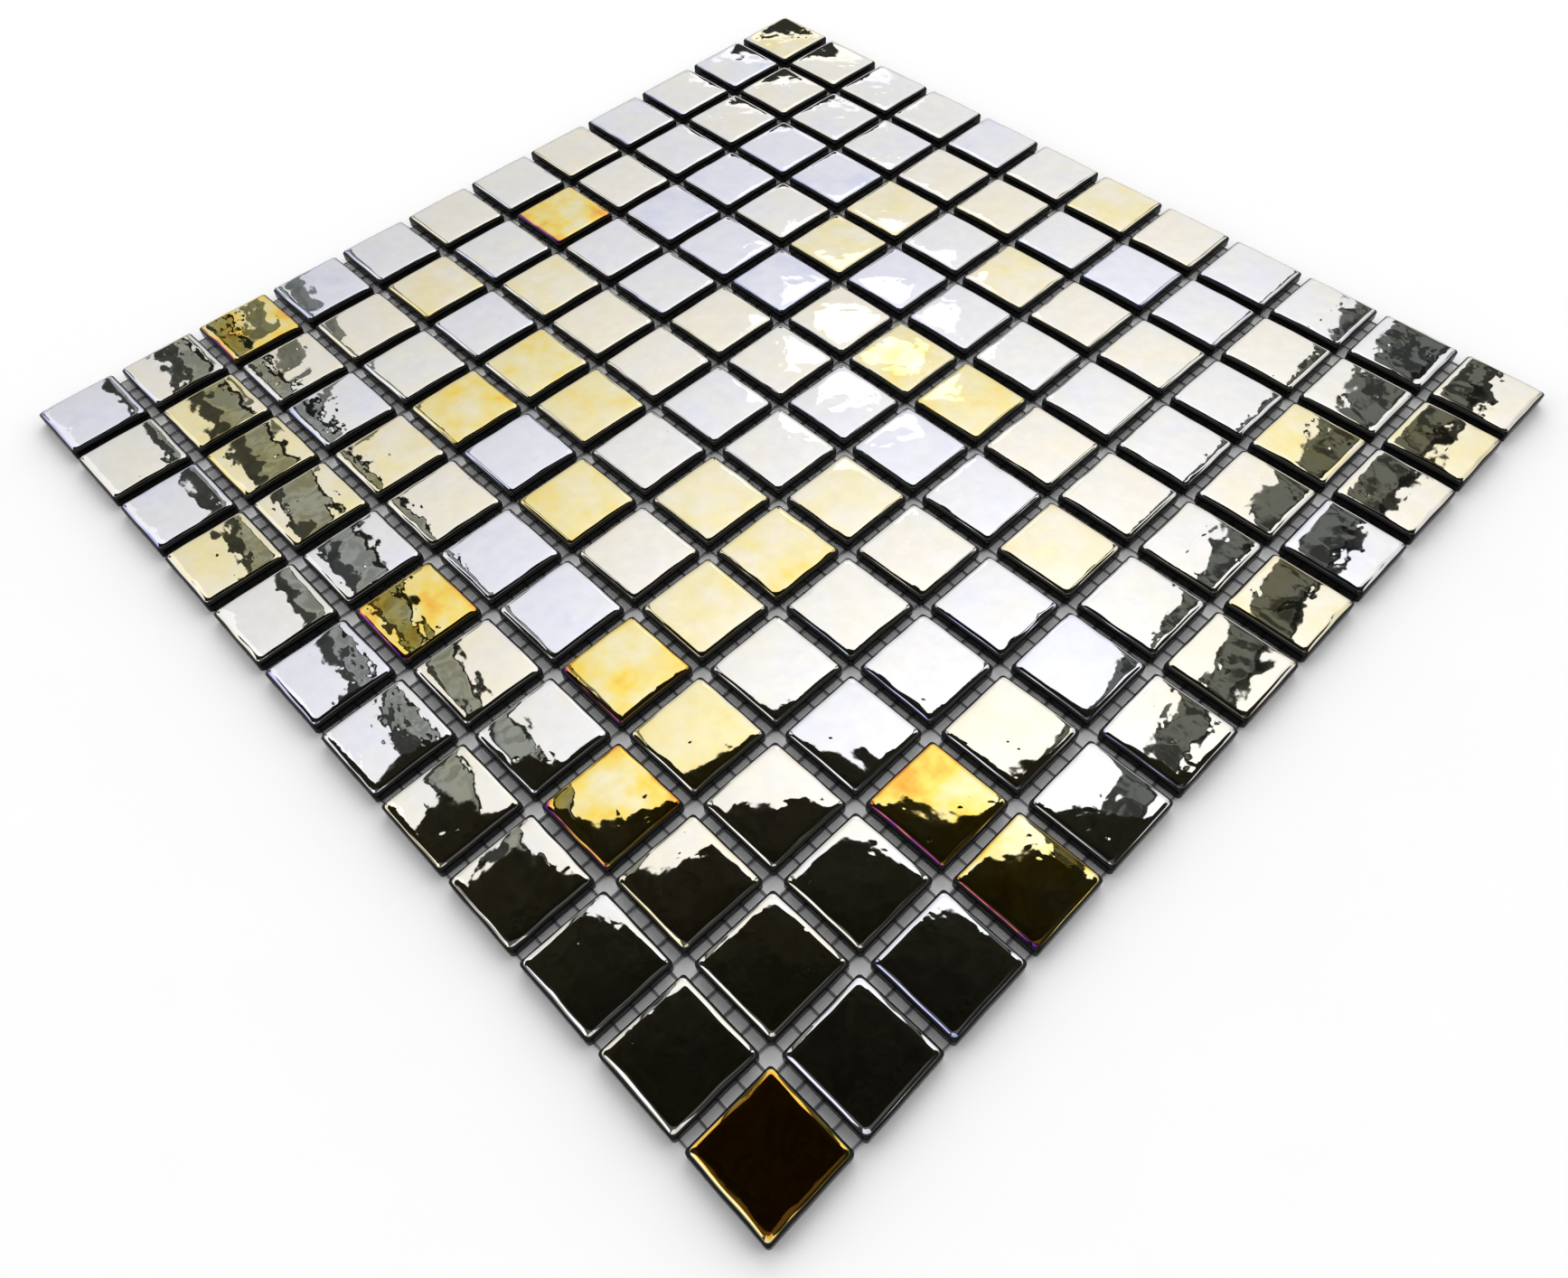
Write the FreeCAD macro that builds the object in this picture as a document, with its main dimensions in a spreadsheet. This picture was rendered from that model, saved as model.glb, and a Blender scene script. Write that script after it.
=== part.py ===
# Mosaic tile sheet: square glass chips with a pearly lustre, set in straight rows and
# columns on a thin net of glass fibre yarns.
#
# Frame: millimetres, +Z up. The origin is the middle of the underside. The sheet lies
# flat on the lower yarns of its net, with the chips upwards. X runs along a row of
# chips, and Y from row to row. A quarter turn about Z brings the chips onto themselves
# and only swaps which yarns of the net lie lower.

import FreeCAD, Part
import Sketcher
import math
import os

# Driving sizes in millimetres, and counts
SIZES = {
    "chips_per_side": 12,
    "chip_side": 23.0,
    "chip_thickness": 4.0,
    "joint_width": 2.5,
    # The chip's four upright corners: a small flat across each
    "corner_cut": 1.0,
    # The pillow edge round the top: a steep rim above the wall, then a shallow brow
    "rim_inset": 0.4,
    "rim_drop": 0.9,
    "brow_inset": 1.0,
    "brow_drop": 0.35,
    # The bevel round the underside, where the setting bed takes hold
    "bevel_inset": 0.4,
    "bevel_height": 0.8,
    # The net: yarns pressed flat above and below, with thin sides
    "yarn_width": 0.55,
    "yarn_flat": 0.35,
    "yarn_thickness": 0.25,
    "yarns_per_chip": 5,
    "yarn_end_inset": 0.6,
}

# A cut corner's reach along the sides shrinks by this share of any inset: 2 less root 2
CUT_SHRINK = 2 - math.sqrt(2)

# No turn, for a sketch that is only raised
LEVEL = FreeCAD.Rotation()

# Formulas over the sizes that several features share
PITCH = "(Sizes.chip_side + Sizes.joint_width)"
SHEET_SIDE = f"(Sizes.chips_per_side * {PITCH} - Sizes.joint_width)"
FIRST_CHIP = f"(-(Sizes.chips_per_side - 1) / 2 * {PITCH})"
YARN_COUNT = "(Sizes.chips_per_side * Sizes.yarns_per_chip)"
YARN_PITCH = f"({PITCH} / Sizes.yarns_per_chip)"
FIRST_YARN = f"(-({YARN_COUNT} - 1) / 2 * {YARN_PITCH})"
YARN_LENGTH = f"({SHEET_SIDE} - 2 * Sizes.yarn_end_inset)"

# The two ends of a line, and the two axes of a sketch, as constraints name them
START, END = 1, 2
ACROSS, UP = -1, -2


def write_sheet(doc):
    """The spreadsheet of driving sizes, one alias to a line."""
    cells = doc.addObject("Spreadsheet::Sheet", "Sizes")
    for line, (alias, value) in enumerate(SIZES.items(), start=1):
        cells.set(f"A{line}", alias)
        cells.set(f"B{line}", str(value))
        cells.setAlias(f"B{line}", alias)
    doc.recompute()


def origin_part(body, role):
    """The body's own origin plane or axis with that role, such as XY_Plane."""
    return next(part for part in body.Origin.OriginFeatures if part.Role == role)


def new_sketch(body, name, plane):
    """An empty sketch on one of the body's origin planes."""
    sketch = body.newObject("Sketcher::SketchObject", name)
    sketch.AttachmentSupport = [(origin_part(body, plane), "")]
    sketch.MapMode = "FlatFace"
    return sketch


def closed_outline(sketch, corners):
    """Lines from corner to corner and back to the first, joined end to end."""
    count = len(corners)
    points = [FreeCAD.Vector(x, y, 0) for x, y in corners]
    for i in range(count):
        sketch.addGeometry(Part.LineSegment(points[i], points[(i + 1) % count]), False)
    for i in range(count):
        sketch.addConstraint(Sketcher.Constraint("Coincident", i, END, (i + 1) % count, START))


def mirrored(sketch, first, second, axis):
    """Two points, each a line's number and end, kept alike on both sides of an axis."""
    sketch.addConstraint(Sketcher.Constraint("Symmetric", *first, *second, axis))


def spaced(sketch, kind, first, second, name, formula, value):
    """The distance between two points along one axis, named and tied to a formula."""
    index = sketch.addConstraint(Sketcher.Constraint(kind, *first, *second, value))
    sketch.renameConstraint(index, name)
    sketch.setExpression(f"Constraints.{name}", formula)


def draw_chip_level(body, name, height, inset):
    """The chip's outline at one level: a square with cut corners, moved in by the inset.

    The cut edges move in as far as the sides do, so each cut grows shorter. Height and
    inset are pairs: a formula over the sizes, and its value now.
    """
    side = SIZES["chip_side"] - 2 * inset[1]
    corner = SIZES["corner_cut"] - CUT_SHRINK * inset[1]
    half = side / 2
    near = half - corner
    sketch = new_sketch(body, name, "XY_Plane")
    sketch.AttachmentOffset = FreeCAD.Placement(FreeCAD.Vector(0, 0, height[1]), LEVEL)
    sketch.setExpression(".AttachmentOffset.Base.z", height[0])
    closed_outline(
        sketch,
        [
            (-near, -half),
            (near, -half),
            (half, -near),
            (half, near),
            (near, half),
            (-near, half),
            (-half, near),
            (-half, -near),
        ],
    )
    front, cut, right, back, left = 0, 1, 2, 4, 6
    mirrored(sketch, (front, START), (front, END), UP)
    mirrored(sketch, (back, START), (back, END), UP)
    mirrored(sketch, (front, START), (back, END), ACROSS)
    mirrored(sketch, (right, START), (right, END), ACROSS)
    mirrored(sketch, (left, START), (left, END), ACROSS)
    mirrored(sketch, (right, START), (left, END), UP)
    side_formula = f"Sizes.chip_side - 2 * ({inset[0]})"
    corner_formula = f"Sizes.corner_cut - {CUT_SHRINK} * ({inset[0]})"
    spaced(sketch, "DistanceX", (left, END), (right, START), "width", side_formula, side)
    spaced(sketch, "DistanceY", (front, START), (back, END), "depth", side_formula, side)
    spaced(sketch, "DistanceX", (cut, START), (cut, END), "cut_x", corner_formula, corner)
    spaced(sketch, "DistanceY", (cut, START), (cut, END), "cut_y", corner_formula, corner)
    return sketch


def chip_levels():
    """The chip's levels from the back up: name, height and inset, each with its value now."""
    sizes = SIZES
    top = sizes["chip_thickness"]
    brow_foot = top - sizes["brow_drop"]
    rim_foot = brow_foot - sizes["rim_drop"]
    return [
        ("BackEdge", ("0", 0), ("Sizes.bevel_inset", sizes["bevel_inset"])),
        ("WallFoot", ("Sizes.bevel_height", sizes["bevel_height"]), ("0", 0)),
        ("WallHead", ("Sizes.chip_thickness - Sizes.brow_drop - Sizes.rim_drop", rim_foot), ("0", 0)),
        (
            "RimHead",
            ("Sizes.chip_thickness - Sizes.brow_drop", brow_foot),
            ("Sizes.rim_inset", sizes["rim_inset"]),
        ),
        (
            "TopEdge",
            ("Sizes.chip_thickness", top),
            ("Sizes.rim_inset + Sizes.brow_inset", sizes["rim_inset"] + sizes["brow_inset"]),
        ),
    ]


def repeat_along(doc, body, axis, count, length):
    """The whole body so far, set out again along one of its origin axes."""
    pattern = body.newObject("PartDesign::LinearPattern", "Repeat")
    pattern.TransformMode = "Whole shape"
    pattern.Direction = (origin_part(body, axis), [""])
    pattern.Mode = "Extent"
    pattern.setExpression("Length", length)
    pattern.setExpression("Occurrences", count)
    body.Tip = pattern
    doc.recompute()


def add_chip_row(doc, number):
    """One row of like glass chips, clear of each other by the joint."""
    body = doc.addObject("PartDesign::Body", f"ChipRow{number:02d}")
    body.Label = f"tile_row_{number:02d}"
    levels = [draw_chip_level(body, *level) for level in chip_levels()]
    doc.recompute()
    chip = body.newObject("PartDesign::AdditiveLoft", "Chip")
    chip.Profile = levels[0]
    chip.Sections = levels[1:]
    chip.Ruled = True
    doc.recompute()
    repeat_along(doc, body, "X_Axis", "Sizes.chips_per_side", f"-2 * {FIRST_CHIP}")
    body.setExpression(".Placement.Base.x", FIRST_CHIP)
    body.setExpression(".Placement.Base.y", f"{FIRST_CHIP} + {number - 1} * {PITCH}")
    body.setExpression(".Placement.Base.z", "2 * Sizes.yarn_thickness")
    return body


def draw_yarn_section(body, plane):
    """A flattened hexagon that stands on the origin, level above and below."""
    side = SIZES["yarn_width"] / 2
    flat = SIZES["yarn_flat"] / 2
    top = SIZES["yarn_thickness"]
    sketch = new_sketch(body, "YarnSection", plane)
    closed_outline(
        sketch, [(-flat, 0), (flat, 0), (side, top / 2), (flat, top), (-flat, top), (-side, top / 2)]
    )
    under, lower_side, upper_side, over, far_side = 0, 1, 2, 3, 4
    mirrored(sketch, (under, START), (under, END), UP)
    mirrored(sketch, (over, START), (over, END), UP)
    mirrored(sketch, (lower_side, END), (far_side, END), UP)
    sketch.addConstraint(Sketcher.Constraint("PointOnObject", under, START, ACROSS))
    sketch.addConstraint(Sketcher.Constraint("Vertical", under, END, upper_side, END))
    across, along = ("DistanceX", "DistanceY")
    spaced(sketch, across, (under, START), (under, END), "flat", "Sizes.yarn_flat", 2 * flat)
    spaced(sketch, across, (far_side, END), (lower_side, END), "width", "Sizes.yarn_width", 2 * side)
    spaced(sketch, along, (under, END), (over, START), "height", "Sizes.yarn_thickness", top)
    middle = "Sizes.yarn_thickness / 2"
    spaced(sketch, along, (under, END), (lower_side, END), "middle", middle, top / 2)
    return sketch


def add_yarns(doc, name, label, section_plane, spread_axis, spread_letter, height):
    """One layer of the net: straight yarns side by side, from edge to edge of the sheet."""
    body = doc.addObject("PartDesign::Body", name)
    body.Label = label
    section = draw_yarn_section(body, section_plane)
    doc.recompute()
    yarn = body.newObject("PartDesign::Pad", "Yarn")
    yarn.Profile = section
    yarn.SideType = "Symmetric"
    yarn.setExpression("Length", YARN_LENGTH)
    doc.recompute()
    repeat_along(doc, body, spread_axis, YARN_COUNT, f"-2 * {FIRST_YARN}")
    body.setExpression(f".Placement.Base.{spread_letter}", FIRST_YARN)
    body.setExpression(".Placement.Base.z", height)
    return body


def failed_objects(doc):
    """The document's objects that did not compute."""
    return [
        item.Name
        for item in doc.Objects
        if "Invalid" in item.State or "Error" in item.State
    ]


def check_solids(body, count):
    """Stops unless the body's shape is valid and holds that many separate solids."""
    shape = body.Shape
    if shape.isNull() or not shape.isValid() or len(shape.Solids) != count:
        raise RuntimeError(f"{body.Label} has no good shape")


def main():
    doc = FreeCAD.newDocument("MosaicTileSheet")
    write_sheet(doc)
    chips = SIZES["chips_per_side"]
    yarns = chips * SIZES["yarns_per_chip"]
    pieces = [(add_chip_row(doc, number), chips) for number in range(1, chips + 1)]
    lower = add_yarns(doc, "LowerYarns", "net_lower_yarns", "YZ_Plane", "Y_Axis", "y", "0")
    upper = add_yarns(
        doc, "UpperYarns", "net_upper_yarns", "XZ_Plane", "X_Axis", "x", "Sizes.yarn_thickness"
    )
    pieces += [(lower, yarns), (upper, yarns)]
    doc.recompute()
    failed = failed_objects(doc)
    if failed:
        raise RuntimeError("not computed: " + ", ".join(failed))
    for body, count in pieces:
        check_solids(body, count)
    os.makedirs("parts", exist_ok=True)
    for body, _ in pieces:
        body.Shape.exportStep(f"parts/{body.Label}.step")
        box = body.Shape.BoundBox
        print(body.Label, len(body.Shape.Solids), round(body.Shape.Volume, 2), box)


main()
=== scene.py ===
# Mosaic tile sheet: the finish of its lustre glass chips and of the net that carries them.
#
# Frame: +Z up, origin in the middle of the underside. Lengths are in metres and angles in
# degrees. A chip's own coordinates start at its middle.

import bpy
import math
import numpy as np
from mathutils import Matrix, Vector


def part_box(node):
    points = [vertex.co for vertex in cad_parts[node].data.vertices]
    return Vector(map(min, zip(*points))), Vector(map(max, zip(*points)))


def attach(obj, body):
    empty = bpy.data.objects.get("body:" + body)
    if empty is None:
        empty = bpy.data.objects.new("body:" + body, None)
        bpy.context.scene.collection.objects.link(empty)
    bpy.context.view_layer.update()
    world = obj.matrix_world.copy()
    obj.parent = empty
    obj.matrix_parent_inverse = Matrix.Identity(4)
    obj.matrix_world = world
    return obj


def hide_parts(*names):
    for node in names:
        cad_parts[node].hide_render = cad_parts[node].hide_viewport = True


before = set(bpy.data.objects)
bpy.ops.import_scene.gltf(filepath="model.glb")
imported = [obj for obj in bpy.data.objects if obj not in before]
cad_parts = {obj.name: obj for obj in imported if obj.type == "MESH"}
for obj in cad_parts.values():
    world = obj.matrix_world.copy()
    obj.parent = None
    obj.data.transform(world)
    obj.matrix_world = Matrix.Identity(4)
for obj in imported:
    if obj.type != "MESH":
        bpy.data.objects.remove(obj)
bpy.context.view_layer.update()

MM = 0.001
SEED = 11

# The chips, as the frame has them
CHIPS_PER_SIDE = 12
CHIP_LOW, CHIP_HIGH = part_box("tile_row_01")
ROW_LENGTH = CHIP_HIGH.x - CHIP_LOW.x
CHIP_SIDE = CHIP_HIGH.y - CHIP_LOW.y
CHIP_BACK = CHIP_LOW.z
CHIP_TOP = CHIP_HIGH.z
PITCH = (ROW_LENGTH - CHIP_SIDE) / (CHIPS_PER_SIDE - 1)

# The moulded shape of a chip: its corner, soft edge, bevel, and the fall of its face
CORNER_RADIUS = 0.95 * MM
CORNER_GROWTH = 0.3
ROUNDEST = 0.98
EDGE_INSET = 1.55 * MM
EDGE_DROP = 1.05 * MM
BEVEL_INSET = 0.25 * MM
BEVEL_HEIGHT = 0.5 * MM
SWELL = 0.085 * MM
SHOULDER = 0.05 * MM
SWELL_REACH = 1.1
TOP_CLEARANCE = 0.06 * MM
LEAST_CLEARANCE = 0.005 * MM

# How much one chip differs from the next
SIDE_LOSS = (0.06 * MM, 0.22 * MM)
SHIFT_SPREAD = 0.05 * MM
TURN_SPREAD = 0.25
TILT_SPREAD = 0.16
WAVE_COUNT = 16
WAVE_LENGTHS = (3.4 * MM, 13 * MM)
WAVE_SLOPE = 0.42
WOBBLE_HARMONICS = 9
OUTLINE_WOBBLE = 0.03 * MM
EDGE_WOBBLE = 0.09

# The mesh of a chip: points along a side and round a corner, rings on the face and edge
SIDE_STEPS = 19
CORNER_STEPS = 5
FACE_RINGS = 12
EDGE_ANGLES = (0, 11, 21, 29, 34.5, 40, 50, 62, 76, 90)

# The lustre's reach down the soft edge, from 0 at its start to 1 at the upright side
COAT_FADE = (0.565, 0.65)
PEEL_FADE = 0.5
FACE_ROUGHNESS = 0.025
RIM_ROUGHNESS = 0.1
SIDE_ROUGHNESS = 0.5
PEEL_HEIGHT = 0.05 * MM
BUBBLE_HEIGHT = 0.016 * MM
CRATER_DEPTH = 0.026 * MM
BARE_GLASS = (0.004, 0.004, 0.0035, 1)

# Interference colours of the lustre film, by its place on a scale from thin to thick
FILM_COLOURS = (
    (0.00, (0.06, 0.04, 0.30)),
    (0.12, (0.23, 0.25, 0.43)),
    (0.23, (0.415, 0.42, 0.465)),
    (0.36, (0.445, 0.435, 0.417)),
    (0.48, (0.465, 0.433, 0.35)),
    (0.60, (0.466, 0.414, 0.23)),
    (0.72, (0.484, 0.367, 0.076)),
    (0.84, (0.48, 0.19, 0.024)),
    (0.94, (0.21, 0.025, 0.13)),
    (1.00, (0.10, 0.014, 0.23)),
)

# Chips of each kind, by the row from the front and the place from the right
BRONZE_CHIPS = ((0, 0),)
DEEP_GOLD_CHIPS = ((1, 3), (3, 1), (2, 4), (1, 6), (2, 11), (6, 10), (3, 0))
GOLD_CHIPS = ((4, 8), (4, 4), (3, 8), (3, 6), (7, 4), (7, 5), (4, 7), (2, 3))
CREAM_CHIPS = (
    (11, 5), (9, 5), (9, 7), (3, 4), (2, 8), (1, 10), (0, 8), (7, 0), (1, 8), (4, 5), (8, 7),
    (6, 2), (1, 9), (5, 4), (10, 0), (4, 10), (9, 1), (5, 9), (11, 11),
)
LAVENDER_CHIPS = (
    (7, 9), (3, 7), (2, 6), (7, 7), (6, 4), (9, 8), (2, 5), (10, 4), (0, 6), (0, 11), (8, 9),
    (7, 8), (3, 11), (8, 6), (5, 1), (9, 9),
)

# The range of each kind's place on the scale, and of how cloudy it is
BRONZE_FILM = (0.82, 0.1)
FILM_KINDS = (
    (DEEP_GOLD_CHIPS, (0.65, 0.7), (0.45, 0.65)),
    (GOLD_CHIPS, (0.57, 0.62), (0.3, 0.45)),
    (CREAM_CHIPS, (0.5, 0.55), (0.25, 0.4)),
    (LAVENDER_CHIPS, (0.215, 0.26), (0.06, 0.12)),
)
PLAIN_FILM = ((0.27, 0.45), (0.12, 0.3))

# How the film shifts along the scale on the soft edge, and how much of that on each side. The
# smaller share on every side is the film's own; the extra on the side that faces -Y is painted
# sheen, the tint of that side's reflections seen from the camera's side
RIM_SHIFTS = (-0.26, 0.14)
RIM_SHIFT_START = 0.15
RIM_SHIFT_SPAN = 0.4
RIM_THICKEST = 0.74
GOLD_FROM = 0.64
GOLD_RIM_SHIFT = 0.29
BRONZE_FROM = 0.8
BRONZE_RIM_SHIFT = -0.3
FILM_LEAST = 0.14
RIM_SHIFT_AWAY_FROM_SHEEN = 0.3

# The net
YARNS_PER_CHIP = 5
YARN_SIDES = 8
YARN_STEPS = 120
YARN_HALF_WIDTH = 0.275 * MM
YARN_ROUNDNESS = 0.7
YARN_WANDER = 0.05 * MM
WANDER_LENGTHS = (12 * MM, 30 * MM)
YARN_PINCH = 0.14
PINCH_LENGTH = 5.1 * MM
FILAMENT_FINENESS = 3500.0
FILAMENT_STRETCH = 160.0
FILAMENT_HEIGHT = 0.06 * MM


def smooth(share):
    """An even rise from 0 to 1 with level ends."""
    share = np.clip(share, 0, 1)
    return share * share * (3 - 2 * share)


def new_piece(name, points, faces, node):
    """A mesh from arrays of points and quads or triangles; it rides on the one body."""
    mesh = bpy.data.meshes.new(name)
    mesh.from_pydata(points.tolist(), [], faces)
    mesh.polygons.foreach_set("use_smooth", np.ones(len(mesh.polygons), bool))
    mesh.update()
    piece = bpy.data.objects.new(name, mesh)
    bpy.context.scene.collection.objects.link(piece)
    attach(piece, "root")
    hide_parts(node)
    return piece


def add_attribute(piece, name, kind, values):
    """A value for each point of the mesh, which a material reads by name."""
    attribute = piece.data.attributes.new(name, kind, "POINT")
    field = "vector" if kind == "FLOAT_VECTOR" else "value"
    attribute.data.foreach_set(field, values.astype(np.float32).ravel())


def outline_path():
    """The way round a chip, as two arrays Q and N of plan vectors.

    A rounded square of half side a and corner radius c is (a - c) Q + c N. Along a side
    Q runs from corner to corner of the unit square and N is the side's normal; round a
    corner Q stays at the corner and N turns by a quarter.
    """
    along = np.linspace(-1, 1, SIDE_STEPS + 1)[:-1]
    turn = np.linspace(0, math.pi / 2, CORNER_STEPS + 1)[:-1]
    side_q = np.stack([along, -np.ones_like(along)], -1)
    side_n = np.tile([0.0, -1.0], (SIDE_STEPS, 1))
    corner_q = np.tile([1.0, -1.0], (CORNER_STEPS, 1))
    corner_n = np.stack([np.sin(turn), -np.cos(turn)], -1)
    quarter_turn = np.array([[0, 1], [-1, 0]])
    quarters_q = [np.concatenate([side_q, corner_q])]
    quarters_n = [np.concatenate([side_n, corner_n])]
    for _ in range(3):
        quarters_q.append(quarters_q[-1] @ quarter_turn)
        quarters_n.append(quarters_n[-1] @ quarter_turn)
    return np.concatenate(quarters_q), np.concatenate(quarters_n)


def chip_profile():
    """The profile of a chip from the middle of its top to the middle of its back.

    Returns the inset from the outline, the height above the back, the share of the
    face's relief, and the share of the way down the soft edge, which is more than 1 below
    it. The face keeps one height, the soft edge is a quarter of an ellipse, and wall,
    bevel and back are straight.
    """
    half = CHIP_SIDE / 2
    top = CHIP_TOP - CHIP_BACK - TOP_CLEARANCE
    face = np.linspace(1, 0, FACE_RINGS + 1)[1:-1]
    face_inset = EDGE_INSET + (half - EDGE_INSET) * face
    angle = np.radians(EDGE_ANGLES)
    edge_inset = EDGE_INSET * (1 - np.sin(angle))
    edge_height = top - EDGE_DROP * (1 - np.cos(angle))
    inset = np.concatenate([face_inset, edge_inset, [0, BEVEL_INSET, half * 0.5]])
    height = np.concatenate([np.full(len(face), top), edge_height, [BEVEL_HEIGHT, 0, 0]])
    relief = np.concatenate([np.ones(len(face)), np.cos(angle) ** 0.5, np.zeros(3)])
    edge = np.concatenate([np.zeros(len(face)), np.sin(angle), [1.5, 2, 2]])
    return inset, height, relief, edge


def chip_faces(rings, around):
    """Quads between neighbouring rings, and a fan of triangles at each of the two poles."""
    ring = np.arange(rings - 1)[:, None] * around
    step = np.arange(around)[None, :]
    following = (step + 1) % around
    quads = np.stack(
        [ring + step, ring + around + step, ring + around + following, ring + following], -1
    ).reshape(-1, 4)
    first, last = rings * around, rings * around + 1
    step, following = step.ravel(), following.ravel()
    base = (rings - 1) * around
    top_fan = np.stack([np.full(around, first), step, following], -1)
    back_fan = np.stack([np.full(around, last), base + following, base + step], -1)
    return quads, np.concatenate([top_fan, back_fan])


def wobble(random, count, around):
    """Closed wavy lines of height about one: sines of a few whole numbers of waves."""
    place = np.linspace(0, 2 * math.pi, around, endpoint=False)
    waves = np.arange(2, WOBBLE_HARMONICS + 2)
    size = random.normal(size=(count, WOBBLE_HARMONICS, 1)) / np.sqrt(WOBBLE_HARMONICS)
    phase = random.uniform(0, 2 * math.pi, (count, WOBBLE_HARMONICS, 1))
    return (size * np.sin(waves[:, None] * place + phase)).sum(1)


def face_relief(random, plan):
    """How far the chips' faces lie from level: swell, shoulder and the molten glass's waves.

    The swell falls with the square of the distance from the middle, the shoulder with
    the fourth power of each coordinate, and the waves are a sum of sines in all directions
    whose heights grow with their lengths, so that all are equally steep.
    """
    half = CHIP_SIDE / 2 - EDGE_INSET
    share = np.clip(plan / half, -SWELL_REACH, SWELL_REACH)
    drop = SWELL * (share**2).sum(-1) + SHOULDER * (share**4).sum(-1)
    low, high = np.log(WAVE_LENGTHS)
    length = np.exp(random.uniform(low, high, (len(plan), 1, 1, WAVE_COUNT)))
    heading = random.uniform(0, 2 * math.pi, length.shape)
    phase = random.uniform(0, 2 * math.pi, length.shape)
    along = plan[..., :1] * np.cos(heading) + plan[..., 1:] * np.sin(heading)
    slope = math.radians(WAVE_SLOPE) * math.sqrt(2 / WAVE_COUNT)
    height = slope * length / (2 * math.pi)
    waves = (height * np.sin(2 * math.pi * along / length + phase)).sum(-1)
    return waves - drop


def moulded_points(path_q, path_n, random):
    """The points of one row's chips in their own coordinates, as plan and height.

    The profile is carried round the rounded square outline. A point is (a - c) Q + c N in
    plan, where a is the half side less the inset and c the corner radius, which grows
    with the inset. The outline and the width of the soft edge wander a little.
    """
    inset, height, relief, edge = chip_profile()
    around, count = len(path_q), CHIPS_PER_SIDE
    half = CHIP_SIDE / 2 - random.uniform(*SIDE_LOSS, (count, 1, 1)) / 2
    wander = OUTLINE_WOBBLE * wobble(random, count, around)[:, None, :]
    half = half + wander * (inset[:, None] < EDGE_INSET)
    edge_share = 1 + EDGE_WOBBLE * wobble(random, count, around)[:, None, :]
    soft = ((edge > 0) & (edge <= 1))[:, None]
    own_inset = np.where(soft, inset[:, None] * edge_share, inset[:, None])
    a = half - own_inset
    c = np.minimum(CORNER_RADIUS + CORNER_GROWTH * own_inset, a * ROUNDEST)
    plan = (a - c)[..., None] * path_q + c[..., None] * path_n
    tall = height[None, :, None] + relief[None, :, None] * face_relief(random, plan)
    top_pole = tall[:, :1, :].mean(-1)
    back_pole = np.zeros((count, 1))
    plan = np.concatenate([plan.reshape(count, -1, 2), np.zeros((count, 2, 2))], 1)
    tall = np.concatenate([tall.reshape(count, -1), top_pole, back_pole], 1)
    return plan, tall


def placed_points(number, plan, tall, random):
    """The same points on the sheet, with each chip turned, tilted and shifted a little."""
    count = CHIPS_PER_SIDE
    tilt = np.radians(random.normal(0, TILT_SPREAD, (count, 2)))
    tall = tall + (plan * tilt[:, None, :]).sum(-1)
    tall = np.clip(tall, 0, CHIP_TOP - CHIP_BACK - LEAST_CLEARANCE)
    turn = np.radians(random.normal(0, TURN_SPREAD, count))
    cos, sin = np.cos(turn)[:, None], np.sin(turn)[:, None]
    shift = random.uniform(-SHIFT_SPREAD, SHIFT_SPREAD, (count, 2))
    x = plan[..., 0] * cos - plan[..., 1] * sin + shift[:, :1]
    y = plan[..., 0] * sin + plan[..., 1] * cos + shift[:, 1:]
    first_middle = -ROW_LENGTH / 2 + CHIP_SIDE / 2
    middle_x = first_middle + PITCH * np.arange(count)[:, None]
    middle_y = first_middle + PITCH * (number - 1)
    low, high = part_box(f"tile_row_{number:02d}")
    x = np.clip(x + middle_x, low.x, high.x)
    y = np.clip(y + middle_y, low.y, high.y)
    return np.stack([x, y, tall + CHIP_BACK], -1).reshape(-1, 3)


def film_of(row, place, random):
    """Where the chip's lustre lies on the colour scale, and how cloudy it is."""
    if (row, place) in BRONZE_CHIPS:
        return BRONZE_FILM
    for chips, film, cloud in FILM_KINDS:
        if (row, place) in chips:
            return random.uniform(*film), random.uniform(*cloud)
    film, cloud = PLAIN_FILM
    return random.uniform(*film), random.uniform(*cloud)


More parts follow.
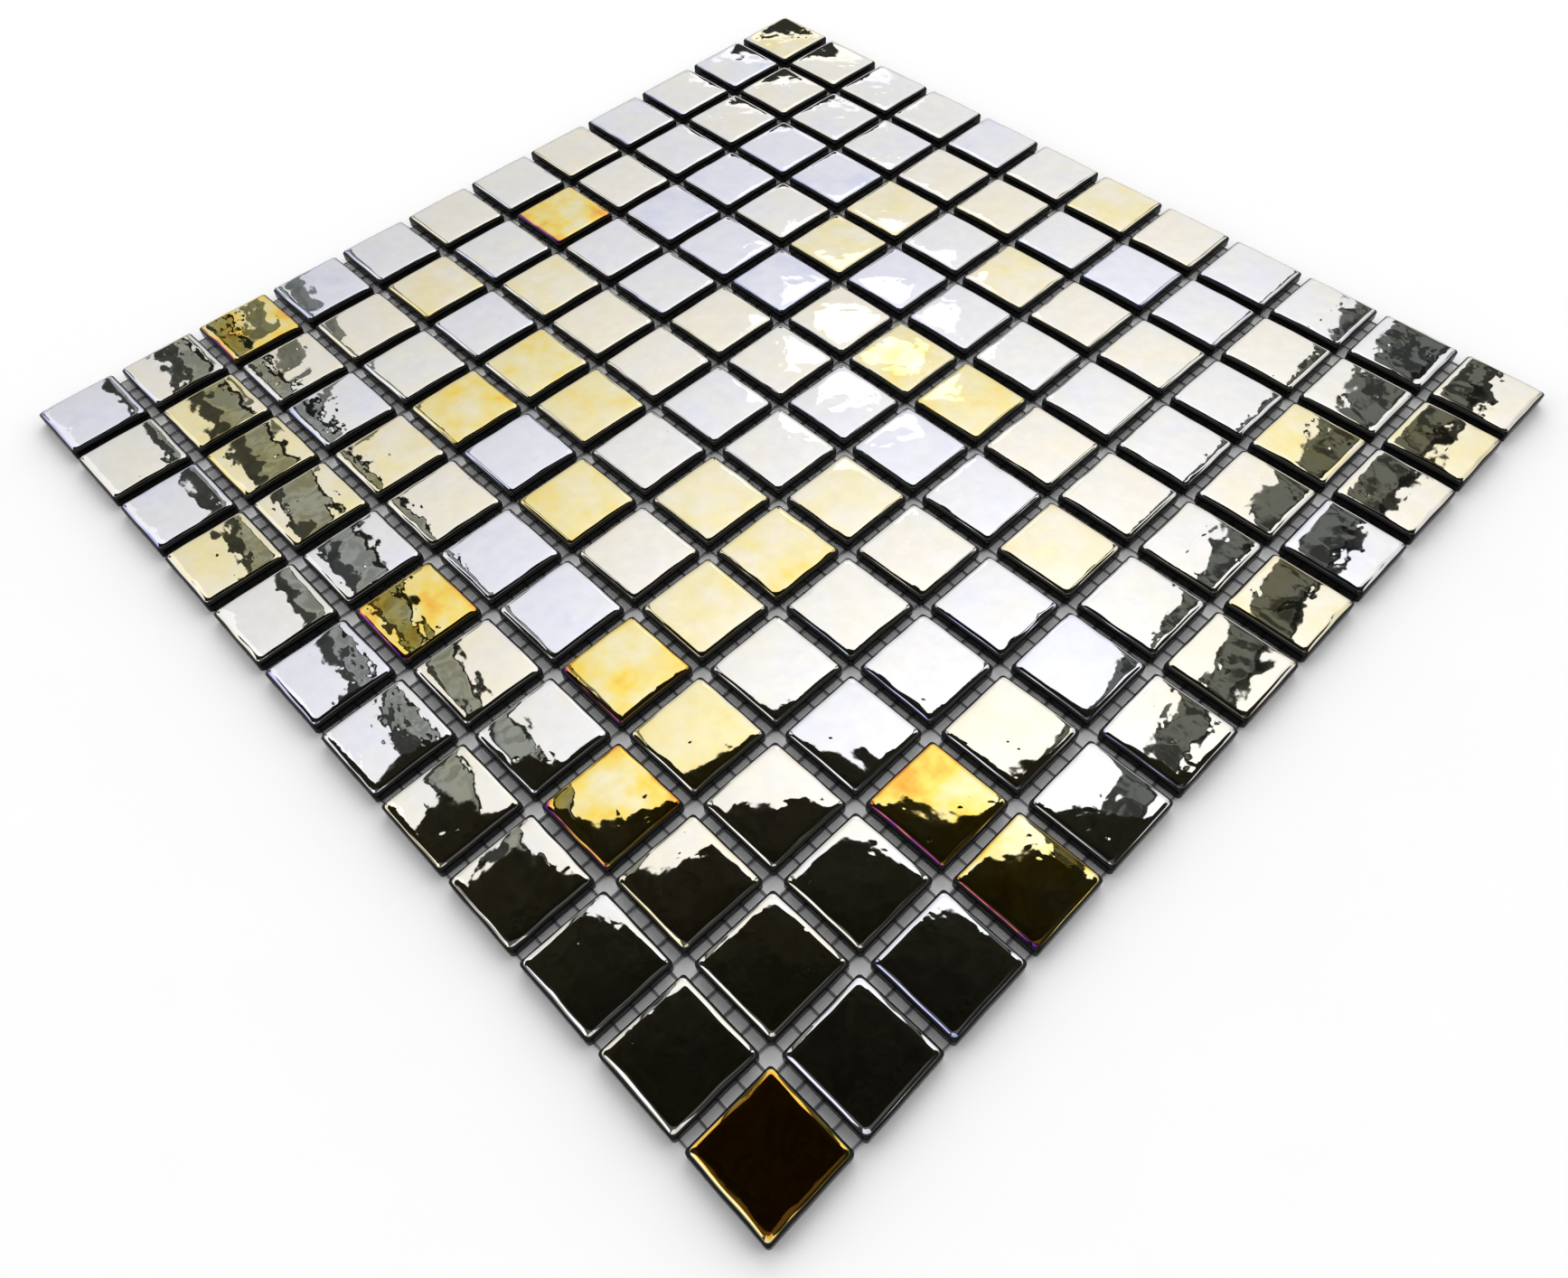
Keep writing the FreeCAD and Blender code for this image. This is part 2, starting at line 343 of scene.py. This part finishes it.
def add_lustre(piece, number, plan, path_n, random):
    """What the finish reads at each point: film, clouds, coat, relief, roughness, place.

    On the soft edge the film shifts along the colour scale, and the coat ends part of the way down.
    The shift is the film's own in part, and the extra on the side that faces -Y is painted sheen,
    the tint of that side's reflections seen from the camera's side. The glass below the coat is
    bare.
    """
    edge = chip_profile()[-1]
    around, count = len(path_n), CHIPS_PER_SIDE
    films = np.array([film_of(number - 1, count - 1 - k, random) for k in range(count)])
    face_film, cloud = films[:, :1], films[:, 1:]
    rim = np.concatenate([np.repeat(edge, around), [0, 2]])
    rim_shift = random.uniform(*RIM_SHIFTS, (count, 1))
    rim_shift = np.minimum(rim_shift, RIM_THICKEST - face_film)
    rim_shift = np.where(face_film > GOLD_FROM, GOLD_RIM_SHIFT, rim_shift)
    rim_shift = np.where(face_film > BRONZE_FROM, BRONZE_RIM_SHIFT, rim_shift)
    # Painted sheen in part: every soft edge gets a share of the rim shift as the film's own, and
    # the side that faces -Y gets all of it, for the tint of its reflections seen from the camera's
    # side
    side = RIM_SHIFT_AWAY_FROM_SHEEN + (1 - RIM_SHIFT_AWAY_FROM_SHEEN) * np.clip(-path_n[:, 1], 0, 1)
    side = np.concatenate([np.tile(side, len(edge)), [0, 0]])
    film = face_film + rim_shift * side * smooth((rim - RIM_SHIFT_START) / RIM_SHIFT_SPAN)
    film = np.maximum(film, np.minimum(face_film, FILM_LEAST))
    coat = 1 - smooth((rim - COAT_FADE[0]) / (COAT_FADE[1] - COAT_FADE[0]))
    coated_roughness = RIM_ROUGHNESS + (FACE_ROUGHNESS - RIM_ROUGHNESS) * coat
    rough = np.where(rim > 1, SIDE_ROUGHNESS, coated_roughness)
    own = np.concatenate([plan, np.zeros((count, len(rim), 1))], -1)
    own = own + random.uniform(-1, 1, (count, 1, 3))
    add_attribute(piece, "film", "FLOAT", film)
    add_attribute(piece, "cloud", "FLOAT", np.repeat(cloud, len(rim), 1))
    add_attribute(piece, "coat", "FLOAT", np.tile(coat, (count, 1)))
    add_attribute(piece, "peel", "FLOAT", np.tile(1 - smooth(rim / PEEL_FADE), (count, 1)))
    add_attribute(piece, "rough", "FLOAT", np.tile(rough, (count, 1)))
    add_attribute(piece, "glaze", "FLOAT_VECTOR", own)
    piece.data.materials.append(lustre_finish())


def add_chip_row(number, path_q, path_n, random):
    """One row of chips: their points, the faces that join them, and their finish."""
    plan, tall = moulded_points(path_q, path_n, random)
    points = placed_points(number, plan, tall, random)
    around, points_each = len(path_q), plan.shape[1]
    rings = (points_each - 2) // around
    quads, fans = chip_faces(rings, around)
    offset = np.arange(CHIPS_PER_SIDE)[:, None, None] * points_each
    faces = (quads + offset).reshape(-1, 4).tolist()
    faces += (fans + offset).reshape(-1, 3).tolist()
    name, node = f"lustre_chips_{number:02d}", f"tile_row_{number:02d}"
    piece = new_piece(name, points, faces, node)
    add_lustre(piece, number, plan, path_n, random)


def yarn_faces(count):
    """Quads along every yarn, and a flat cap at each of its ends."""
    ring = np.arange(YARN_STEPS)[:, None] * YARN_SIDES
    step = np.arange(YARN_SIDES)[None, :]
    following = (step + 1) % YARN_SIDES
    after = ring + YARN_SIDES
    quads = np.stack([ring + step, ring + following, after + following, after + step], -1)
    offset = np.arange(count)[:, None, None] * (YARN_STEPS + 1) * YARN_SIDES
    faces = (quads.reshape(-1, 4) + offset).reshape(-1, 4).tolist()
    start_cap = np.arange(YARN_SIDES)[::-1]
    end_cap = YARN_STEPS * YARN_SIDES + np.arange(YARN_SIDES)
    caps = np.stack([start_cap, end_cap])[None] + offset
    return faces + caps.reshape(-1, YARN_SIDES).tolist()


def add_yarns(name, node, along, random):
    """One layer of the net: flattened yarns with rounded sides, each wandering a little.

    A yarn is a superellipse section carried along a nearly straight line whose sideways
    place is a slow sine. Its width is pinched once in each opening of the net.
    """
    low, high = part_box(node)
    count = CHIPS_PER_SIDE * YARNS_PER_CHIP
    across = 1 - along
    middle_z = (low.z + high.z) / 2
    half_thick = (high.z - low.z) / 2
    spacing = (high[across] - low[across] - 2 * YARN_HALF_WIDTH) / (count - 1)
    centre = low[across] + YARN_HALF_WIDTH + spacing * np.arange(count)
    line = np.linspace(low[along], high[along], YARN_STEPS + 1)
    angle = np.linspace(0, 2 * math.pi, YARN_SIDES, endpoint=False) + math.pi / YARN_SIDES
    section_across = np.sign(np.cos(angle)) * np.abs(np.cos(angle)) ** YARN_ROUNDNESS
    section_up = np.sign(np.sin(angle)) * np.abs(np.sin(angle)) ** YARN_ROUNDNESS
    section_across /= np.abs(section_across).max()
    section_up /= np.abs(section_up).max()
    length = random.uniform(*WANDER_LENGTHS, (count, 1))
    phase = random.uniform(0, 2 * math.pi, (count, 1))
    from_first = np.arange(count)
    end_fade = np.minimum(1, np.minimum(from_first, count - 1 - from_first))[:, None]
    wander = YARN_WANDER * end_fade * np.sin(2 * math.pi * line / length + phase)
    pinch = np.sin(2 * math.pi * line / PINCH_LENGTH + phase) ** 2
    width = YARN_HALF_WIDTH * ((1 - YARN_PINCH) + YARN_PINCH * pinch)
    sideways = (centre[:, None] + wander)[..., None] + width[..., None] * section_across
    points = np.zeros((count, YARN_STEPS + 1, YARN_SIDES, 3))
    points[..., along] = line[None, :, None]
    points[..., across] = sideways
    points[..., 2] = middle_z + half_thick * section_up
    faces = yarn_faces(count)
    if along == 1:
        faces = [face[::-1] for face in faces]
    piece = new_piece(name, points.reshape(-1, 3), faces, node)
    piece.data.materials.append(yarn_finish_painted_shade(along))


class Nodes:
    """A short way to write a node tree: each call adds a node and joins its inputs."""

    def __init__(self, tree):
        self.tree = tree
        tree.nodes.clear()

    def put(self, kind, inputs=None, output=0, **settings):
        node = self.tree.nodes.new(kind)
        for key, value in settings.items():
            setattr(node, key, value)
        for key, value in (inputs or {}).items():
            if isinstance(value, bpy.types.NodeSocket):
                self.tree.links.new(value, node.inputs[key])
            else:
                node.inputs[key].default_value = value
        return node.outputs[output] if node.outputs else None

    def maths(self, operation, first, second=0.0, third=0.0):
        return self.put("ShaderNodeMath", {0: first, 1: second, 2: third}, operation=operation)

    def times(self, first, *others):
        """The product of all the numbers."""
        for other in others:
            first = self.maths("MULTIPLY", first, other)
        return first

    def scaled(self, colour, number):
        """The colour made brighter or darker."""
        return self.put("ShaderNodeVectorMath", {0: colour, "Scale": number}, operation="SCALE")

    def ranged(self, value, low, high, start=0.0, end=1.0, curve="SMOOTHSTEP"):
        """From start at low to end at high."""
        inputs = {"Value": value, "From Min": low, "From Max": high, "To Min": start, "To Max": end}
        return self.put("ShaderNodeMapRange", inputs, interpolation_type=curve)

    def window(self, value, low, high, soft):
        """1 between low and high and 0 outside, with soft ends."""
        rise = self.ranged(value, low - soft, low + soft)
        fall = self.ranged(value, high - soft, high + soft, 1.0, 0.0)
        return self.times(rise, fall)

    def ramp(self, value, stops):
        """The colour at that place between the stops."""
        socket = self.put("ShaderNodeValToRGB", {"Fac": value})
        ramp = socket.node.color_ramp
        while len(ramp.elements) < len(stops):
            ramp.elements.new(1.0)
        for element, (place, colour) in zip(ramp.elements, stops):
            element.position = place
            element.color = (*colour, 1)
        return socket

    def mixed(self, share, first, second):
        """From the first colour to the second."""
        inputs = {0: share, 6: first, 7: second}
        return self.put("ShaderNodeMix", inputs, output=2, data_type="RGBA")

    def between(self, share, first, second):
        """From the first number to the second."""
        return self.put("ShaderNodeMix", {0: share, 2: first, 3: second}, data_type="FLOAT")

    def own(self, name):
        """The mesh's own number of that name."""
        return self.put("ShaderNodeAttribute", output=2, attribute_name=name)

    def noise(self, place, scale, detail, roughness=0.5):
        inputs = {"Vector": place, "Scale": scale, "Detail": detail, "Roughness": roughness}
        return self.put("ShaderNodeTexNoise", inputs)

    def cells(self, place, scale):
        """The distance to the nearest of scattered points, and a random number of its own."""
        inputs = {"Vector": place, "Scale": scale, "Randomness": 1.0}
        distance = self.put("ShaderNodeTexVoronoi", inputs)
        colour = distance.node.outputs["Color"]
        return distance, self.put("ShaderNodeSeparateColor", {"Color": colour})


def finish_of(name, build):
    """The material of that name, made once."""
    material = bpy.data.materials.get(name)
    if material is None:
        material = bpy.data.materials.new(name)
        material.use_nodes = True
        build(Nodes(material.node_tree))
    return material


def film_tint(n, glaze):
    """The film's place on the scale, made cloudy by noise, as a colour.

    Faint wear makes it a little lighter and darker, and rare specks much darker.
    """
    clouds = n.noise(glaze, 95, 3, 0.55)
    spread = n.times(n.maths("SUBTRACT", clouds, 0.5), 1.2)
    place = n.maths("MULTIPLY_ADD", spread, n.own("cloud"), n.own("film"))
    worn = n.ranged(n.noise(glaze, 260, 2), 0.35, 0.65, 0.975, 1.015, "LINEAR")
    distance, chance = n.cells(glaze, 170)
    speck = n.times(n.ranged(distance, 0.018, 0.03, 1.0, 0.0), n.ranged(chance, 0.9, 0.91))
    kept = n.times(worn, n.ranged(speck, 0.0, 1.0, 1.0, 0.3))
    return n.scaled(n.ramp(place, FILM_COLOURS), kept)


def face_height(n, glaze):
    """The face's fine relief: patches of orange peel and bubbles, and rare small craters."""
    patch = n.ranged(n.noise(glaze, 75, 1), 0.45, 0.62, 0.3, 1.0)
    peel = n.times(n.noise(glaze, 260, 1.6), patch)
    distance, chance = n.cells(glaze, 330)
    bubble = n.times(n.ranged(distance, 0.0, 0.6, 1.0, 0.0), n.ranged(patch, 0.6, 1.0))
    crater = n.times(n.ranged(distance, 0.0, 0.32, 1.0, 0.0), n.ranged(chance, 0.93, 0.94))
    height = n.maths("MULTIPLY_ADD", crater, -CRATER_DEPTH, n.times(bubble, BUBBLE_HEIGHT))
    return n.maths("MULTIPLY_ADD", peel, PEEL_HEIGHT, height)


def build_lustre(n):
    glaze = n.put("ShaderNodeAttribute", output=1, attribute_name="glaze")
    coat = n.own("coat")
    relief = {"Height": face_height(n, glaze), "Distance": 1.0, "Strength": n.own("peel")}
    surface = {
        "Base Color": n.mixed(coat, BARE_GLASS, film_tint(n, glaze)),
        "Metallic": coat,
        "Roughness": n.own("rough"),
        "IOR": 1.52,
        "Specular IOR Level": 0.1,
        "Normal": n.put("ShaderNodeBump", relief),
    }
    shader = n.put("ShaderNodeBsdfPrincipled", surface)
    n.put("ShaderNodeOutputMaterial", {"Surface": shader})


def lustre_finish():
    """Black glass under a pearly lustre film whose tint follows the film's thickness."""
    return finish_of("lustre_glass_finish", build_lustre)


def yarn_finish_painted_shade(along):
    """Glass fibre yarn: fine filaments along the yarn under a dull dressing, in dark greys that are
    painted shade, as dark as the yarns look in the shade of the joints; glass fibre itself is pale.
    """

    def build(n):
        place = n.put("ShaderNodeTexCoord", output=3)
        scale = [FILAMENT_FINENESS] * 3
        scale[along] = FILAMENT_STRETCH
        stretched = n.put("ShaderNodeMapping", {"Vector": place, "Scale": scale})
        filaments = n.noise(stretched, 1, 3)
        patches = n.noise(place, 140, 2)
        tone = n.maths("MULTIPLY_ADD", patches, 0.4, n.times(filaments, 0.6))
        # Painted shade: dark greys for a pale glass fibre, as dark as the yarns look in the shade
        # between the chips
        colour = n.ramp(tone, ((0.3, (0.13, 0.127, 0.135)), (0.7, (0.34, 0.33, 0.35))))
        bumped = n.put("ShaderNodeBump", {"Height": filaments, "Distance": FILAMENT_HEIGHT})
        surface = {"Base Color": colour, "Roughness": 0.55, "Normal": bumped}
        shader = n.put("ShaderNodeBsdfPrincipled", surface)
        n.put("ShaderNodeOutputMaterial", {"Surface": shader})

    return finish_of(f"glass_fibre_painted_shade_{'xy'[along]}", build)


# The room that the chips mirror, by azimuth and elevation. Its walls are bright, with
# posts that repeat at each quarter turn; its ceiling is dark, with a dim skylight. A span
# is its two ends and how soft they are.
QUARTER = 90.0
WALL_LIGHT = 1.8
REAR_SPAN = (186, 274, 2)
REAR_GAIN = 0.7
LOW_GAIN = 0.8
LAMP_SPANS = ((36.6, 46.3, 0.25), (37.8, 43.8, 0.25))
LAMP_LIGHT = 3.0
STRIP_SPANS = ((40.5, 50.5, 0.6), (23, 28.6, 0.3))
STRIP_LIGHT = 2.2
BOX_SPANS = ((43.4, 49.0, 0.2), (15.5, 27.3, 0.2))
BOX_LIGHT = 0.06
REAR_LAMP_SPANS = ((128, 174, 1.0), (49, 70, 0.4))
REAR_LAMP_LIGHT = (2.4, 2.4, 2.4, 1)
LOW_POST_SPANS = ((73.8, 76.4, 0.15), (20, 38.6, 0.3))
POST_MIDDLE = 39.0
POST_FOOT = 18.0
POST_TOP = 34.0
FIRST_QUARTER_POST_TOP = 64.0
POST_RAGGEDNESS = 2.0
SHADE_TINT = (0.94, 1.0, 0.9)
SOOT = (0.027, 0.0255, 0.015)
SKYLIGHT_SPAN = (110, 340, 10)
SKYLIGHT = (0.18, 0.18, 0.18, 1)
CEILING_EDGES = (
    (0, 58), (10, 60), (14, 60.5), (19, 61.4), (26, 63.4), (32, 64), (41, 62.6), (49, 62.3),
    (58, 62.9), (66, 64.4), (72, 61.8), (76, 59.6), (80, 58.4), (85, 59.3), (90, 60),
    (100, 45), (128, 45), (129, 42), (184, 42), (187, 84), (273, 84), (276, 42), (321, 42),
    (322, 45), (350, 45), (360, 55),
)

# The smooth dome that lights matt surfaces
DOME_LIGHT = 1.6
DOME_FALL = 0.77
DOME_SPREAD = 0.65
DOME_BIAS = 0.32
DOME_AHEAD = (-0.7, 0.65, 0.0)
DOME_LEAST = 0.02


def room_angles(n, direction):
    """Azimuth from 0 to 360, turning from +Y towards -X, and elevation."""
    x, y, z = n.put("ShaderNodeSeparateXYZ", {"Vector": direction}).node.outputs
    degrees = 180 / math.pi
    azimuth = n.times(n.maths("ARCTAN2", n.times(x, -1.0), y), degrees)
    azimuth = n.maths("FLOORED_MODULO", azimuth, 360.0)
    return azimuth, n.times(n.maths("ARCSINE", z), degrees)


def wall_light(n, azimuth, elevation, around):
    """The walls, brighter upward and dimmer near the floor and behind the camera."""
    across = n.ranged(around, 25, 70, 1.06, 0.86, "LINEAR")
    upward = n.ranged(elevation, 32, 60, 0.96, 1.3, "LINEAR")
    rear = n.times(n.window(azimuth, *REAR_SPAN), n.ranged(elevation, 12, 15))
    gain = n.between(rear, 1.0, REAR_GAIN)
    low_gain = n.ranged(elevation, 22, 26, LOW_GAIN, 1.0)
    return n.times(across, upward, WALL_LIGHT, gain, low_gain)


def with_posts(n, light, azimuth, elevation, around, blotches):
    """The walls with their posts, whose sides are ragged and lean a little.

    A post on the right and one on the left each have a darker band beside them. They end
    under the ceiling in the first quarter, and lower down in the others.
    """
    blotched = n.ranged(blotches, 0.42, 0.56, 0.3, 1.1)
    clouded = n.ranged(blotches, 0.4, 0.6, 0.75, 1.1)
    unevenness = n.maths("SUBTRACT", blotches, 0.5)
    ragged = n.maths("MULTIPLY_ADD", unevenness, POST_RAGGEDNESS, around)
    above_middle = n.maths("SUBTRACT", elevation, POST_MIDDLE)
    right = n.maths("MULTIPLY_ADD", above_middle, -0.08, ragged)
    left_end = n.maths("MULTIPLY_ADD", above_middle, 0.16, ragged)
    left_edge = n.maths("MULTIPLY_ADD", above_middle, 0.06, ragged)

    first_quarter = n.ranged(azimuth, 86.5, 87.0, 1.0, 0.0)
    post_top = n.between(first_quarter, POST_TOP, FIRST_QUARTER_POST_TOP)
    under_top = n.ranged(n.maths("SUBTRACT", elevation, post_top), -0.4, 0.4, 1.0, 0.0)
    over_foot = n.ranged(elevation, POST_FOOT - 0.4, POST_FOOT + 0.4)
    tall = n.times(under_top, over_foot)
    left_post = n.times(n.ranged(left_end, 77.1, 77.3), n.ranged(left_edge, 79.9, 80.1, 1.0, 0.0))
    bands = (
        (n.window(right, 8.7, 14.4, 0.2), n.times(blotched, 0.27)),
        (n.window(right, 7.2, 8.8, 0.15), n.times(blotched, 0.07)),
        (left_post, n.times(clouded, 0.62)),
        (n.window(left_end, 76.3, 77.2, 0.08), 0.02),
        (n.window(left_edge, 80.0, 82.2, 0.1), n.times(clouded, 0.1)),
    )
    for share, level in bands:
        light = n.between(n.times(share, tall), light, level)
    across, upward = LOW_POST_SPANS
    low_post = n.times(n.window(ragged, *across), n.window(elevation, *upward))
    return n.between(low_post, light, n.times(clouded, 0.38))


def with_patch(n, light, across, upward, spans, level):
    """The light with an even patch of another level over two spans."""
    share = n.times(n.window(across, *spans[0]), n.window(upward, *spans[1]))
    return n.between(share, light, level)


def ceiling_of(n, azimuth, elevation, blotches):
    """How far a direction is past the ceiling's edge, and the ceiling's sooty colour."""
    edges = [(place / 360, [height / 90] * 3) for place, height in CEILING_EDGES]
    edge = n.times(n.ramp(n.maths("DIVIDE", azimuth, 360.0), edges), 90.0)
    past_edge = n.ranged(n.maths("SUBTRACT", elevation, edge), -0.2, 0.2)
    dark = n.ranged(elevation, 62, 76, 1.0, 0.45)
    dark = n.times(dark, n.ranged(blotches, 0.3, 0.7, 0.75, 1.3, "LINEAR"))
    skylight = n.times(n.window(azimuth, *SKYLIGHT_SPAN), n.ranged(elevation, 60, 76))
    return past_edge, n.mixed(skylight, n.scaled(SOOT, dark), SKYLIGHT)


def mirrored_room(n, direction):
    """What the glass mirrors: the walls, posts, lamps and ceiling."""
    azimuth, elevation = room_angles(n, direction)
    around = n.maths("FLOORED_MODULO", azimuth, QUARTER)
    blotches = n.noise(direction, 30, 1.5)
    light = wall_light(n, azimuth, elevation, around)
    light = with_posts(n, light, azimuth, elevation, around, blotches)
    light = with_patch(n, light, azimuth, elevation, LAMP_SPANS, LAMP_LIGHT)
    light = with_patch(n, light, around, elevation, STRIP_SPANS, STRIP_LIGHT)
    light = with_patch(n, light, azimuth, elevation, BOX_SPANS, BOX_LIGHT)
    grey = n.put("ShaderNodeCombineColor", {0: light, 1: light, 2: light})
    shade = n.mixed(n.ranged(light, 0.6, 0.9, 1.0, 0.0), grey, n.scaled(SHADE_TINT, light))
    past_edge, soot = ceiling_of(n, azimuth, elevation, blotches)
    colour = n.mixed(past_edge, shade, soot)
    across, upward = REAR_LAMP_SPANS
    rear_lamp = n.times(n.window(azimuth, *across), n.window(elevation, *upward))
    colour = n.mixed(rear_lamp, colour, REAR_LAMP_LIGHT)
    return n.put("ShaderNodeBackground", {"Color": colour})


def smooth_dome(n, direction):
    """The light on matt surfaces: less from above, most from ahead and from the corners.

    With the squares X, Y and Z of a direction's parts it is 1 - fall Z + spread
    (8 X Y / (X + Y) - X - Y) + bias (Y - X), and the direction's part ahead is added.
    """
    x, y, z = n.put("ShaderNodeSeparateXYZ", {"Vector": direction}).node.outputs
    xx, yy, zz = (n.times(side, side) for side in (x, y, z))
    flat = n.maths("ADD", xx, yy)
    crossed = n.maths("DIVIDE", n.times(xx, yy, 8.0), flat)
    strength = n.maths("MULTIPLY_ADD", zz, -DOME_FALL, 1.0)
    strength = n.maths("MULTIPLY_ADD", n.maths("SUBTRACT", crossed, flat), DOME_SPREAD, strength)
    strength = n.maths("MULTIPLY_ADD", n.maths("SUBTRACT", yy, xx), DOME_BIAS, strength)
    towards = {0: direction, 1: DOME_AHEAD}
    ahead = n.put("ShaderNodeVectorMath", towards, output=1, operation="DOT_PRODUCT")
    strength = n.maths("MAXIMUM", n.maths("ADD", strength, ahead), DOME_LEAST)
    strength = n.times(strength, DOME_LIGHT)
    return n.put("ShaderNodeBackground", {"Color": (1, 1, 1, 1), "Strength": strength})


def build_studio(n):
    """The room for the glass, the dome for matt surfaces, and plain white for the camera."""
    direction = n.put("ShaderNodeTexCoord", output=0)
    rays = n.put("ShaderNodeLightPath").node.outputs
    mirrored = n.maths("MAXIMUM", rays["Is Glossy Ray"], rays["Is Transmission Ray"])
    shaders = {0: mirrored, 1: smooth_dome(n, direction), 2: mirrored_room(n, direction)}
    around_sheet = n.put("ShaderNodeMixShader", shaders)
    backdrop = n.put("ShaderNodeBackground", {"Color": (1, 1, 1, 1), "Strength": 1.0})
    shaders = {0: rays["Is Camera Ray"], 1: around_sheet, 2: backdrop}
    n.put("ShaderNodeOutputWorld", {"Surface": n.put("ShaderNodeMixShader", shaders)})


def add_studio():
    """The studio round the sheet, given by direction alone."""
    world = bpy.data.worlds.new("studio")
    world.use_nodes = True
    build_studio(Nodes(world.node_tree))
    bpy.context.scene.world = world


FLOOR_REACH = 6.0
FLOOR_LEVEL = -0.02 * MM
NET_GAP = 0.12 * MM


def build_floor(n):
    """Pale and matt from above; clear from below and to the net's underside, to show it."""
    place = n.put("ShaderNodeTexCoord", output=3)
    tones = ((0.0, (0.945, 0.945, 0.945)), (1.0, (0.965, 0.965, 0.965)))
    colour = n.ramp(n.noise(place, 40, 2), tones)
    shader = n.put("ShaderNodeBsdfPrincipled", {"Base Color": colour, "Roughness": 0.9})
    clear = n.put("ShaderNodeBsdfTransparent")
    from_below = n.put("ShaderNodeNewGeometry", output=6)
    length = n.put("ShaderNodeLightPath").node.outputs["Ray Length"]
    unseen = n.maths("MAXIMUM", from_below, n.maths("LESS_THAN", length, NET_GAP))
    surface = n.put("ShaderNodeMixShader", {0: unseen, 1: shader, 2: clear})
    n.put("ShaderNodeOutputMaterial", {"Surface": surface})


def add_floor():
    """A plain pale floor, just clear of the net's underside."""
    signs = ((-1, -1), (1, -1), (1, 1), (-1, 1))
    corners = [(FLOOR_REACH * x, FLOOR_REACH * y, FLOOR_LEVEL) for x, y in signs]
    mesh = bpy.data.meshes.new("floor")
    mesh.from_pydata(corners, [], [(0, 1, 2, 3)])
    floor = bpy.data.objects.new("floor", mesh)
    bpy.context.scene.collection.objects.link(floor)
    floor.data.materials.append(finish_of("pale_floor", build_floor))


CAMERA_PLACE = (0.1781, -0.1655, 0.2350)
CAMERA_AZIMUTH = 47.51
CAMERA_DOWN = 55.08
CAMERA_ROLL = -2.53
CAMERA_LENS = 26.546
SENSOR_WIDTH = 36


def add_camera():
    """The camera, close above the near corner, looking down across the sheet."""
    data = bpy.data.cameras.new("camera")
    data.lens = CAMERA_LENS
    data.sensor_width = SENSOR_WIDTH
    data.clip_start = 0.01
    camera = bpy.data.objects.new("camera", data)
    bpy.context.scene.collection.objects.link(camera)
    turn = Matrix.Rotation(math.radians(CAMERA_AZIMUTH), 4, "Z")
    nod = Matrix.Rotation(math.radians(90 - CAMERA_DOWN), 4, "X")
    roll = Matrix.Rotation(math.radians(CAMERA_ROLL), 4, "Z")
    camera.matrix_world = Matrix.Translation(CAMERA_PLACE) @ turn @ nod @ roll
    bpy.context.scene.camera = camera


def main():
    random = np.random.default_rng(SEED)
    path_q, path_n = outline_path()
    for number in range(1, CHIPS_PER_SIDE + 1):
        add_chip_row(number, path_q, path_n, random)
    add_yarns("lower_yarns", "net_lower_yarns", 0, random)
    add_yarns("upper_yarns", "net_upper_yarns", 1, random)
    add_studio()
    add_floor()
    add_camera()
    bpy.context.scene.view_settings.view_transform = "Standard"


main()
